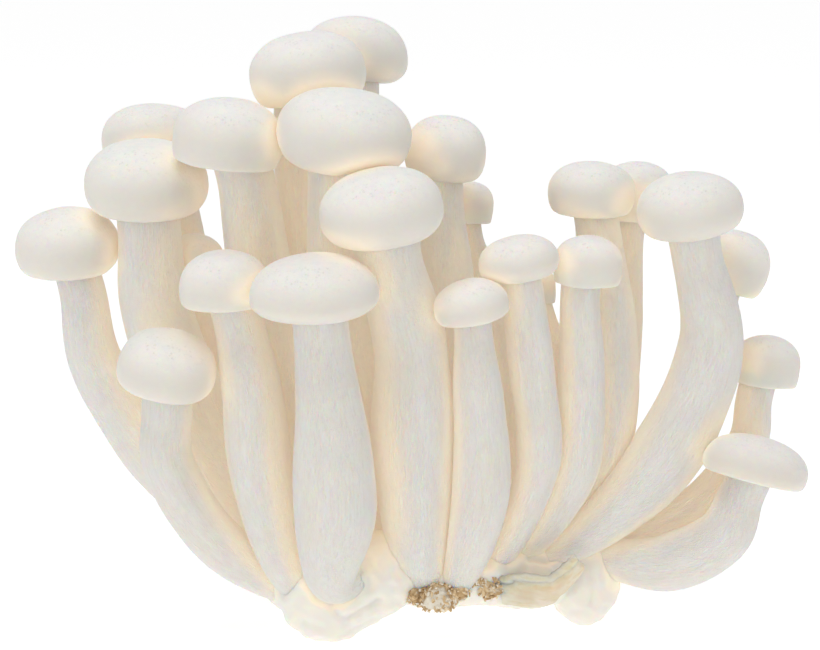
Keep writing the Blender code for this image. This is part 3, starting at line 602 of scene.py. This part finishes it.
def build_gills(mushroom, cap, stem, others, look):
    inner, seat = cap.margin(stem) - LIP, stem.neck_radius * GILL_SEAT
    low, high = -cap.lower + LIP, cap.gill_height
    sag = GILL_SAG * cap.lower
    count = int(FULL_TURN * inner / GILL_SPACING / 2)

    def edge(share):
        return low + (high - low) * share - sag * math.sin(math.pi * share)

    def short_edge(share):
        return edge(share * SHORT_GILL_REACH) + SHORT_GILL_RISE * share

    top = cap.gill_height + CEILING + GILL_ROOT
    work = gill_blades(count, inner, seat, edge, top, 0.0)
    short = gill_blades(count, inner, (inner + seat) / 2, short_edge, top, math.pi / count)
    mesh = bpy.data.meshes.new("short")
    short.to_mesh(mesh)
    short.free()
    work.from_mesh(mesh)
    bpy.data.meshes.remove(mesh)
    own = places(work)
    waves = [(rough(p, GILL_WAVE_LENGTH), rough(p, GILL_WAVE_LENGTH, 31.0)) for p in own]
    own[:, :2] += GILL_WAVE * np.array(waves)
    world = cap.to_world(settled(cap, stem, own))
    near = near_ones(world, others)
    set_places(work, press(world, np.broadcast_to(cap.origin, world.shape), cap, near))
    finished("gills_" + mushroom.name, work, "cap_skin", "cap_" + mushroom.name, look, on_cap=own)


STEM_TOP = 1.2       # how far the stem runs on into the cap
FLUTE = 0.16         # depth of the shallow flutes along a stem
FLUTE_WIDTH = 2.2
FLUTE_LENGTH = 16.0
LUMP = 0.35          # slow swellings along a stem
LUMP_LENGTH = 11.0
LUMP_WIDTH = 3.0     # times that a lump is wider round the stem than along it
LUMP_SEED = 50


def build_stem(mushroom, stem, others, crowd, look):
    up = stem.line[0] - stem.line[1]
    top = stem.line[0] + up / np.linalg.norm(up) * STEM_TOP
    rows = smooth_line([(*top, stem.rows[0][3]), *stem.rows], STEM_RINGS)
    line, radii = rows[:, :3], rows[:, 3] / 2
    tangents = np.gradient(line, axis=0)
    tangents /= np.linalg.norm(tangents, axis=1)[:, None]
    side = np.cross(tangents, (0.0, 1.0, 0.0))
    side /= np.linalg.norm(side, axis=1)[:, None]
    front = np.cross(side, tangents)
    lengths = np.concatenate([[0], np.cumsum(np.linalg.norm(np.diff(line, axis=0), axis=1))])

    work = bmesh.new()
    bmesh.ops.create_grid(work, x_segments=STEM_SIDES, y_segments=STEM_RINGS - 1, size=0.5)
    grid = places(work)
    angle = (grid[:, 0] + 0.5) * FULL_TURN
    ring = np.rint((grid[:, 1] + 0.5) * (STEM_RINGS - 1)).astype(int)
    round_place = np.stack([np.cos(angle), np.sin(angle)], 1) * radii[ring][:, None]
    along = np.stack([*round_place.T, lengths[ring]], 1)
    seed = STEM_SEED_STEP * mushroom.radius
    flutes = np.array([rough((x, y, z * FLUTE_WIDTH / FLUTE_LENGTH), FLUTE_WIDTH, seed) for x, y, z in along])
    slow = along / (LUMP_WIDTH, LUMP_WIDTH, 1.0)
    lumps = np.array([rough(p, LUMP_LENGTH, seed + LUMP_SEED) for p in slow])
    wide = 1 + (FLUTE * flutes + LUMP * lumps) / radii[ring]
    round_place = round_place * wide[:, None]
    offset = side[ring] * round_place[:, :1] + front[ring] * round_place[:, 1:]
    world = line[ring] + offset
    near = near_ones(world, others)
    anchors, _, _ = stem.nearest(world)
    pressed = press(world, anchors, stem, near)
    set_places(work, pressed)
    moved = np.linalg.norm(pressed - world, axis=1) > PRESSED_BY
    place_layer = work.verts.layers.float_vector.new("along_stem")
    pressed_layer = work.verts.layers.float.new("pressed")
    for v, spot, hit in zip(work.verts, along, moved):
        v[place_layer] = spot + (seed, 0, 0)
        v[pressed_layer] = hit
    bmesh.ops.remove_doubles(work, verts=work.verts, dist=WELD)
    bmesh.ops.holes_fill(work, edges=[e for e in work.edges if e.is_boundary], sides=0)
    bmesh.ops.recalc_face_normals(work, faces=work.faces)
    soften(work, np.array([v[pressed_layer] for v in work.verts]) > 0)
    shade = crowd.shade(places(work), normals_of(work), MUSHROOMS.index(mushroom))
    finished("stem_" + mushroom.name, work, "stem_flesh", "stem_" + mushroom.name, look, crowded=shade)


def ellipsoid(work, middle, sizes, detail, turn=None):
    """Adds a ball drawn out to three half sizes, and returns its vertices."""
    matrix = Matrix.Translation(Vector(middle)) @ (turn or Matrix.Identity(4)) @ Matrix.Diagonal((*sizes, 1))
    return bmesh.ops.create_icosphere(work, subdivisions=detail, radius=1, matrix=matrix)["verts"]


def remeshed(name, work, voxel, smoothing):
    """Overlapping closed shapes made one closed skin of even faces."""
    holder = held(name, work)
    skin = holder.modifiers.new("skin", "REMESH")
    skin.mode = "VOXEL"
    skin.voxel_size = voxel
    soft = holder.modifiers.new("soften", "SMOOTH")
    soft.iterations = smoothing
    return applied(holder)


def line_distance(points, line):
    """How far points of a plane lie from a broken line."""
    best = np.full(len(points), np.inf)
    for a, b in zip(line, line[1:]):
        a, b = np.array(a), np.array(b)
        share = np.clip((points - a) @ (b - a) / ((b - a) @ (b - a)), 0, 1)
        best = np.minimum(best, np.linalg.norm(points - a - share[:, None] * (b - a), axis=1))
    return best


FOOT_SWELL = 1.02
FOOT_BALLS = 3       # of the middle line's last points that the base takes in
BASE_ROUGHNESS = 0.75
BASE_LUMP = 6.0
FINE_LUMP = 2.0
FINE_SHARE = 0.5
FRONT = 0.1          # creases go where the skin's normal has a Y under this


def build_base(stems, crowd, look):
    """The fused flesh: lobes and the stems' feet under one skin, with creases pressed into its front."""
    work = bmesh.new()
    for middle, sizes in BASE_LOBES:
        ellipsoid(work, middle, sizes, 5)
    for stem in stems:
        for spot, radius in zip(stem.line[-FOOT_BALLS:], stem.radii[-FOOT_BALLS:]):
            ellipsoid(work, spot, [radius * FOOT_SWELL] * 3, 3)
    work = remeshed("base", work, BASE_VOXEL, BASE_SMOOTHING)
    points, normals = places(work), normals_of(work)
    lumps = np.array([rough(p, BASE_LUMP) + FINE_SHARE * rough(p, FINE_LUMP, 9.0) for p in points])
    move = BASE_ROUGHNESS * lumps
    fold = np.zeros(len(points))
    for line, depth, width in BASE_CREASES:
        away = line_distance(points[:, [0, 2]], line)
        share = np.where(normals[:, 1] < FRONT, np.exp(-((away / width) ** 2)), 0)
        move -= depth * share
        fold = np.maximum(fold, share * depth)
    points += normals * move[:, None]
    points[:, 2] = np.maximum(points[:, 2], 0)
    set_places(work, points)
    shade = crowd.shade(points, normals_of(work), BASE_OWNER)
    finished("base", work, "base_flesh", "base", look, crowded=shade, fold=fold)


FLAP_STEPS, FLAP_ROWS = 48, 18
RAGGED = 0.06        # share of the width that the free edge wanders by
RAGGED_LENGTH, RAGGED_WIDTH = 30, 1.6
TIP_CURL = 1.2
FLAP_FOLD = 0.35
FOLD_TURNS, FOLD_SLANT = 9, 3
FLAP_LUMP, FLAP_LUMP_WIDTH = 0.5, 3.0
TEAR, TEAR_WIDTH = 0.175, 1.3


def build_flap(crowd, look):
    """The torn flap: a curled sheet with a ragged free edge and folds along it."""
    work = bmesh.new()
    bmesh.ops.create_grid(work, x_segments=FLAP_STEPS, y_segments=FLAP_ROWS, size=0.5)
    roots, edges = (smooth_line(line, FLAP_STEPS + 1) for line in (FLAP_ROOT, FLAP_EDGE))
    for v in work.verts:
        along, across = v.co.x + 0.5, v.co.y + 0.5
        step = round(along * FLAP_STEPS)
        ragged = 1 + RAGGED * rough((along * RAGGED_LENGTH, 0, 0), RAGGED_WIDTH)
        spot = roots[step] + (edges[step] - roots[step]) * across * ragged
        curl = FLAP_BULGE * math.sin(math.pi * across) + TIP_CURL * across**4 * along
        fold = FLAP_FOLD * math.sin(across * FOLD_TURNS + FOLD_SLANT * along)
        fold += FLAP_LUMP * rough(spot, FLAP_LUMP_WIDTH)
        v.co = spot + np.array((0, -curl - fold * across, 0))
    bmesh.ops.solidify(work, geom=work.faces[:], thickness=FLAP_THICK)
    bmesh.ops.recalc_face_normals(work, faces=work.faces)
    for v in work.verts:
        v.co += Vector([TEAR * rough(v.co, TEAR_WIDTH, seed) for seed in (0, 20, 40)])
    points = places(work)
    shade = crowd.shade(points, normals_of(work), BASE_OWNER)
    finished("torn_flap", work, "base_flesh", "base", look, crowded=shade)


CORE_SHARE = 0.86
CORE_VOXEL, CORE_SMOOTHING = 0.4, 2
CORE_LUMP, CORE_LUMP_WIDTH = 0.7, 1.4
CORE_CRUMB, CORE_CRUMB_WIDTH = 0.6, 0.7  # the crumbs' depth is a share of the lumps'
GRAIN_REACH = (0.85, 1.04)
SMALLEST_GRAIN = (0.2, 0.13, 0.1)
LARGEST_GRAIN = (0.75, 0.36, 0.28)
GRAIN_CHIP = 0.07


def build_crust(looks):
    """A core of bound sawdust, and loose grains pressed into it."""
    rng = np.random.default_rng(CRUST_SEED)
    work = bmesh.new()
    for middle, sizes in CRUST_LUMPS:
        ellipsoid(work, middle, np.array(sizes) * CORE_SHARE, 3)
    work = remeshed("core", work, CORE_VOXEL, CORE_SMOOTHING)
    points, normals = places(work), normals_of(work)
    lumps = np.array([rough(p, CORE_LUMP_WIDTH) for p in points])
    crumbs = np.array([rough(p, CORE_CRUMB_WIDTH, 5.0) for p in points])
    set_places(work, points + normals * (CORE_LUMP * (lumps + CORE_CRUMB * crumbs))[:, None])
    finished("crust_core", work, "sawdust", "sawdust_crust", looks["sawdust"])

    work = bmesh.new()
    tone = work.verts.layers.float.new("tone")
    for middle, sizes in CRUST_LUMPS:
        for _ in range(GRAINS_PER_LUMP):
            way = rng.normal(size=3)
            way /= np.linalg.norm(way)
            spot = np.array(middle) + way * sizes * rng.uniform(*GRAIN_REACH)
            size = rng.uniform(SMALLEST_GRAIN, LARGEST_GRAIN)
            turn = Euler(rng.uniform(0, FULL_TURN, 3)).to_matrix().to_4x4()
            shade = rng.uniform()
            for v in ellipsoid(work, spot, size, 1, turn):
                v.co += Vector(rng.uniform(-GRAIN_CHIP, GRAIN_CHIP, 3))
                v[tone] = shade
    finished("crust_grains", work, "sawdust", "sawdust_crust", looks["grain"], smooth=False)


class Socket:
    """An output of a material's node. Sums written with it add the Math nodes that work them out."""

    def __init__(self, look, source):
        self.look = look
        self.source = source

    def math(self, operation, *values):
        return self.look.node("ShaderNodeMath", {"operation": operation}, dict(enumerate(values)))

    def __add__(self, other):
        return self.math("ADD", self, other)

    def __sub__(self, other):
        return self.math("SUBTRACT", self, other)

    def __rsub__(self, other):
        return self.math("SUBTRACT", other, self)

    def __mul__(self, other):
        return self.math("MULTIPLY", self, other)

    __radd__ = __add__
    __rmul__ = __mul__

    def step(self, low, high):
        """0 below low, 1 above high and smooth between them."""
        return self.look.node(
            "ShaderNodeMapRange", {"interpolation_type": "SMOOTHSTEP"},
            {"Value": self, "From Min": low, "From Max": high},
        )


class Look:
    """A material in the making."""

    def __init__(self, name):
        self.material = bpy.data.materials.new(name)
        self.material.use_nodes = True
        # Bounced light finds what glows, which is quicker than sampling it as lamps.
        self.material.cycles.emission_sampling = "NONE"
        self.tree = self.material.node_tree
        self.shader = self.tree.nodes["Principled BSDF"]

    def fill(self, node, values):
        for key, value in values.items():
            if isinstance(value, Socket):
                self.tree.links.new(value.source, node.inputs[key])
            else:
                node.inputs[key].default_value = value

    def node(self, kind, settings, values, output=0):
        made = self.tree.nodes.new(kind)
        for key, value in settings.items():
            setattr(made, key, value)
        self.fill(made, values)
        return Socket(self, made.outputs[output])

    def mark(self, name, output="Vector"):
        return self.node("ShaderNodeAttribute", {"attribute_name": name}, {}, output)

    def stretched(self, place, by):
        return self.node("ShaderNodeVectorMath", {"operation": "MULTIPLY"}, {0: place, 1: by})

    def noise(self, place, scale, detail=2.0):
        return self.node("ShaderNodeTexNoise", {}, {"Vector": place, "Scale": scale, "Detail": detail}, "Fac")

    def mix(self, share, first, second):
        """A blend of two colours."""
        return self.node(
            "ShaderNodeMix", {"data_type": "RGBA", "clamp_factor": True},
            {"Factor": share, 6: first, 7: second}, 2,
        )

    def bump(self, height, strength, distance):
        return self.node(
            "ShaderNodeBump", {}, {"Height": height, "Strength": strength, "Distance": distance}, "Normal")

    def set(self, **values):
        self.fill(self.shader, {key.replace("_", " "): value for key, value in values.items()})
        return self.material


WHITE = (0.92, 0.90, 0.865, 1)
COOL = (0.88, 0.875, 0.85, 1)
CREAM = (0.92, 0.885, 0.81, 1)
# Painted shade: the warm tan put on flesh where neighbours stand close in front of it.
CROWD_SHADE_TAN = (0.93, 0.835, 0.69, 1)
GREY = (0.62, 0.61, 0.58, 1)
# Painted shade: the darker grey of a cap's lower part and underside.
UNDERSIDE_SHADE = (0.73, 0.71, 0.66, 1)
FIBRE = (0.84, 0.80, 0.73, 1)
SPECK = (0.78, 0.62, 0.32, 1)
SPECK_PLACE = (0.0014, 0.0, 0.0123)
BLACK = (0, 0, 0, 1)
PALE = (0.84, 0.82, 0.765, 1)
CREAMY = (0.86, 0.82, 0.73, 1)
DRIED = (0.70, 0.66, 0.575, 1)
# Painted shade in the base's creases, and also the colour of the torn flap's strands.
CREASE_SHADE_AND_STRAND = (0.62, 0.50, 0.34, 1)
# Painted glow: warm light given off by flesh where neighbours crowd it, standing in for light passed through
# the bunch.
PAINTED_GLOW = (0.16, 0.14, 0.12, 1)
YELLOW = (0.62, 0.55, 0.41, 1)
GILL_PALE = (0.90, 0.84, 0.72, 1)
GILL_WARM = (0.90, 0.79, 0.62, 1)

TRANSLUCENT = {
    "Subsurface_Weight": 1.0,
    "Subsurface_Radius": (1.0, 0.6, 0.33),
    "Subsurface_Scale": 0.0025,
    "Specular_IOR_Level": 0.35,
    "IOR": 1.4,
}


def cap_look():
    """Smooth pale skin, mottled with fine grey specks over the crown. Painted shade darkens it towards the
    rim and underside and tints it tan where neighbours crowd it, with a painted warm glow there.
    """
    look = Look("cap_skin")
    place = look.mark("on_cap")
    crown = look.mark("crown", "Fac")
    mottle = look.noise(place, 0.55, 3.0)
    grain = look.noise(place, 2.2, 3.0)
    pits = 1 - look.node(
        "ShaderNodeTexVoronoi", {}, {"Vector": place, "Scale": 1.3}, "Distance").step(0.1, 0.38)
    patchy = look.noise(place, 0.35, 1.0).step(0.4, 0.6)
    pitted = pits * patchy * crown.step(0.3, 0.8)
    colour = look.mix(mottle.step(0.35, 0.7), WHITE, COOL)
    # Painted shade: darker grey towards the rim and underside, lighter towards the crown.
    colour = look.mix(crown.step(0.0, 1.0), UNDERSIDE_SHADE, colour)
    colour = look.mix(pitted * 0.3, colour, GREY)
    # Painted shade: tan where neighbours stand close in front of the skin.
    share = look.mark("crowded", "Fac").step(0.1, 0.8)
    colour = look.mix(share * 0.7, colour, CROWD_SHADE_TAN)
    height = mottle * 0.6 + grain * 0.5 * crown.step(0.0, 0.8) - pitted * 0.4
    return look.set(
        Base_Color=colour, Roughness=0.42 + grain * 0.12, Normal=look.bump(height, 0.6, 0.0005),
        # Painted glow where neighbours crowd the skin.
        Emission_Color=look.mix(share * 0.6, BLACK, PAINTED_GLOW), Emission_Strength=1.0, **TRANSLUCENT)


def stem_look():
    """White flesh with fine fibres that run along the stem. Where neighbours crowd it, it is painted tan
    shade with a painted warm glow.
    """
    look = Look("stem_flesh")
    place = look.mark("along_stem")
    fibres = look.noise(look.stretched(place, (2.8, 2.8, 0.14)), 1.0, 4.0)
    cracks = look.noise(look.stretched(place, (5.0, 5.0, 0.4)), 1.0, 3.0)
    blotch = look.noise(look.stretched(place, (0.25, 0.25, 0.08)), 1.0, 2.0)
    colour = look.mix(blotch.step(0.35, 0.8), WHITE, CREAM)
    colour = look.mix((1 - fibres.step(0.3, 0.55)) * 0.35, colour, FIBRE)
    colour = look.mix((1 - cracks.step(0.28, 0.42)) * 0.5, colour, FIBRE)
    # Painted shade: tan where neighbours stand close in front of the stem.
    share = look.mark("crowded", "Fac").step(0.05, 0.7)
    colour = look.mix(share, colour, CROWD_SHADE_TAN)
    height = fibres * 0.8 + cracks.step(0.3, 0.6) * 0.5
    return look.set(
        Base_Color=colour, Roughness=0.5 + cracks * 0.15, Normal=look.bump(height, 0.9, 0.001),
        # Painted glow where neighbours crowd the stem.
        Emission_Color=look.mix(share, BLACK, PAINTED_GLOW), Emission_Strength=1.0, **TRANSLUCENT)


def base_look():
    """Creamy flesh with painted shade: tan with a painted warm glow where neighbours crowd it, and darker
    yellow-brown in the creases.
    """
    look = Look("base_flesh")
    place = look.node("ShaderNodeTexCoord", {}, {}, "Object")
    blotch = look.noise(place, 120.0, 3.0)
    grain = look.noise(place, 900.0, 3.0)
    colour = look.mix(blotch.step(0.35, 0.7), PALE, CREAMY)
    # Painted shade: tan where neighbours stand close in front of the flesh.
    share = look.mark("crowded", "Fac").step(0.1, 0.8)
    colour = look.mix(share, colour, CROWD_SHADE_TAN)
    # Painted shade: darker yellow-brown in the creases pressed into the front.
    colour = look.mix(look.mark("fold", "Fac").step(0.3, 1.2) * 0.3, colour, CREASE_SHADE_AND_STRAND)
    flat = look.stretched(place, (1.0, 0.0, 1.0))
    away = look.node("ShaderNodeVectorMath", {"operation": "DISTANCE"}, {0: flat, 1: SPECK_PLACE}, "Value")
    colour = look.mix((1 - (away + blotch * 0.0015).step(0.001, 0.0022)) * 0.8, colour, SPECK)
    return look.set(
        Base_Color=colour, Roughness=0.45 + grain * 0.15,
        Normal=look.bump(blotch + grain * 0.25, 0.4, 0.0006),
        # Painted glow where neighbours crowd the flesh.
        Emission_Color=look.mix(share * 0.7, BLACK, PAINTED_GLOW), Emission_Strength=1.0,
        **{**TRANSLUCENT, "Subsurface_Scale": 0.0013})


def flap_look():
    """Torn flesh that has dried yellow along its edge, painted tan shade where neighbours crowd it."""
    look = Look("torn_flesh")
    place = look.node("ShaderNodeTexCoord", {}, {}, "Object")
    blotch = look.noise(place, 220.0, 3.0)
    strands = look.noise(look.stretched(place, (250.0, 900.0, 1100.0)), 1.0, 3.0)
    colour = look.mix(blotch.step(0.3, 0.7), DRIED, YELLOW)
    # Painted shade: tan where neighbours stand close in front of the flap.
    colour = look.mix(look.mark("crowded", "Fac").step(0.3, 0.9) * 0.6, colour, CROWD_SHADE_TAN)
    colour = look.mix((1 - strands.step(0.36, 0.5)) * 0.5, colour, CREASE_SHADE_AND_STRAND)
    return look.set(
        Base_Color=colour, Roughness=0.5 + strands * 0.15,
        Normal=look.bump(strands + blotch * 0.5, 0.5, 0.0006), **TRANSLUCENT)


def gill_look():
    look = Look("gill_flesh")
    grain = look.noise(look.mark("on_cap"), 2.0, 2.0)
    colour = look.mix(grain.step(0.3, 0.7), GILL_PALE, GILL_WARM)
    return look.set(Base_Color=colour, Roughness=0.55 + grain * 0.1, **TRANSLUCENT)


BARK = (0.50, 0.33, 0.16, 1)
STRAW = (0.88, 0.70, 0.44, 1)
THREADS = (0.84, 0.79, 0.68, 1)


def sawdust_look():
    """Brown sawdust under a net of pale threads."""
    look = Look("sawdust")
    place = look.node("ShaderNodeTexCoord", {}, {}, "Object")
    coarse = look.noise(place, 420.0, 4.0)
    fine = look.noise(place, 1500.0, 3.0)
    threads = look.noise(place, 260.0, 5.0).step(0.48, 0.6)
    colour = look.mix(coarse.step(0.35, 0.65), BARK, STRAW)
    colour = look.mix(threads, colour, THREADS)
    return look.set(
        Base_Color=colour, Roughness=0.8 + fine * 0.15, Normal=look.bump(coarse + fine * 0.5, 0.9, 0.0008))


def grain_look():
    """Sawdust grains, each of its own brown."""
    look = Look("sawdust_grain")
    place = look.node("ShaderNodeTexCoord", {}, {}, "Object")
    tone = look.mark("tone", "Fac")
    fine = look.noise(place, 1800.0, 2.0)
    colour = look.mix(tone.step(0.0, 0.75), BARK, STRAW)
    colour = look.mix(tone.step(0.62, 0.85), colour, THREADS)
    return look.set(Base_Color=colour, Roughness=0.75 + fine * 0.2, Normal=look.bump(fine, 0.6, 0.0004))


FLOOR_GREY = (0.55, 0.55, 0.55, 1)
FLOOR_GLOW = 0.64
PURE_WHITE = (1, 1, 1, 1)


def floor_look():
    """A pale floor with a light of its own, which keeps it as white as the photo's ground."""
    look = Look("studio_white")
    return look.set(
        Base_Color=FLOOR_GREY, Roughness=0.9, Emission_Color=PURE_WHITE, Emission_Strength=FLOOR_GLOW)


FLOOR_RADIUS = 8.0
FLOOR_SIDES = 96


def build_floor():
    work = bmesh.new()
    bmesh.ops.create_circle(work, cap_ends=True, radius=FLOOR_RADIUS, segments=FLOOR_SIDES)
    mesh = bpy.data.meshes.new("floor")
    work.to_mesh(mesh)
    work.free()
    mesh.materials.append(floor_look())
    floor = bpy.data.objects.new("floor", mesh)
    bpy.context.scene.collection.objects.link(floor)


def aimed(made, spot, target):
    made.location = Vector(spot)
    made.rotation_euler = (Vector(target) - Vector(spot)).to_track_quat("-Z", "Y").to_euler()
    bpy.context.scene.collection.objects.link(made)
    return made


LIT_SPOT = (0, 0, 0.05)
WORLD_STRENGTH = 0.59
LIGHT_BOUNCES = 6


def soft_light(name, spot, size, power):
    lamp = bpy.data.lights.new(name, "AREA")
    lamp.size = size
    lamp.energy = power
    aimed(bpy.data.objects.new(name, lamp), spot, LIT_SPOT)


def build_studio():
    world = bpy.data.worlds.new("studio")
    world.use_nodes = True
    sky = world.node_tree.nodes["Background"]
    sky.inputs["Color"].default_value = PURE_WHITE
    sky.inputs["Strength"].default_value = WORLD_STRENGTH
    bpy.context.scene.world = world
    soft_light("overhead", (-0.2, -0.3, 0.9), 0.4, 2.1)
    soft_light("front", (-0.25, -1.2, 0.3), 0.5, 1.3)
    soft_light("back", (0.0, 0.55, 0.85), 0.5, 0.8)
    bpy.context.scene.view_settings.view_transform = "Standard"
    bpy.context.scene.view_settings.look = "None"
    bpy.context.scene.cycles.diffuse_bounces = LIGHT_BOUNCES


CAMERA_SPOT = (0.0, -693.188, 151.485)
CAMERA_TARGET = (0.0, 0.0, 54.064)
SENSOR = 36.0
LENS = 170.73
FARTHEST = 30.0


def build_camera():
    data = bpy.data.cameras.new("camera")
    data.sensor_width = SENSOR
    data.lens = LENS
    data.clip_end = FARTHEST
    spot, target = ((Vector(p) + Vector(LAYOUT_SHIFT)) * MM for p in (CAMERA_SPOT, CAMERA_TARGET))
    bpy.context.scene.camera = aimed(bpy.data.objects.new("camera", data), spot, target)


def build_bunch():
    looks = {
        "cap": cap_look(), "stem": stem_look(), "gill": gill_look(), "base": base_look(), "flap": flap_look(),
        "sawdust": sawdust_look(), "grain": grain_look(),
    }
    rng = np.random.default_rng(CAP_SEED)
    caps = [Cap(m, rng) for m in MUSHROOMS]
    stems = [Stem(m, cap) for m, cap in zip(MUSHROOMS, caps)]
    owned = [(i, form) for i, pair in enumerate(zip(caps, stems)) for form in pair]
    owned += [(BASE_OWNER, Lobe(*lobe)) for lobe in BASE_LOBES]
    crowd = Crowd(owned, *((np.array(corner) / MM - LAYOUT_SHIFT) for corner in CAD_BOX))
    for i, mushroom in enumerate(MUSHROOMS):
        others = [form for owner, form in owned if owner not in (i, BASE_OWNER)]
        build_cap(mushroom, caps[i], stems[i], others, crowd, looks["cap"])
        build_gills(mushroom, caps[i], stems[i], others, looks["gill"])
        build_stem(mushroom, stems[i], others, crowd, looks["stem"])
    build_base(stems, crowd, looks["base"])
    build_flap(crowd, looks["flap"])
    build_crust(looks)


build_bunch()
build_floor()
build_studio()
build_camera()
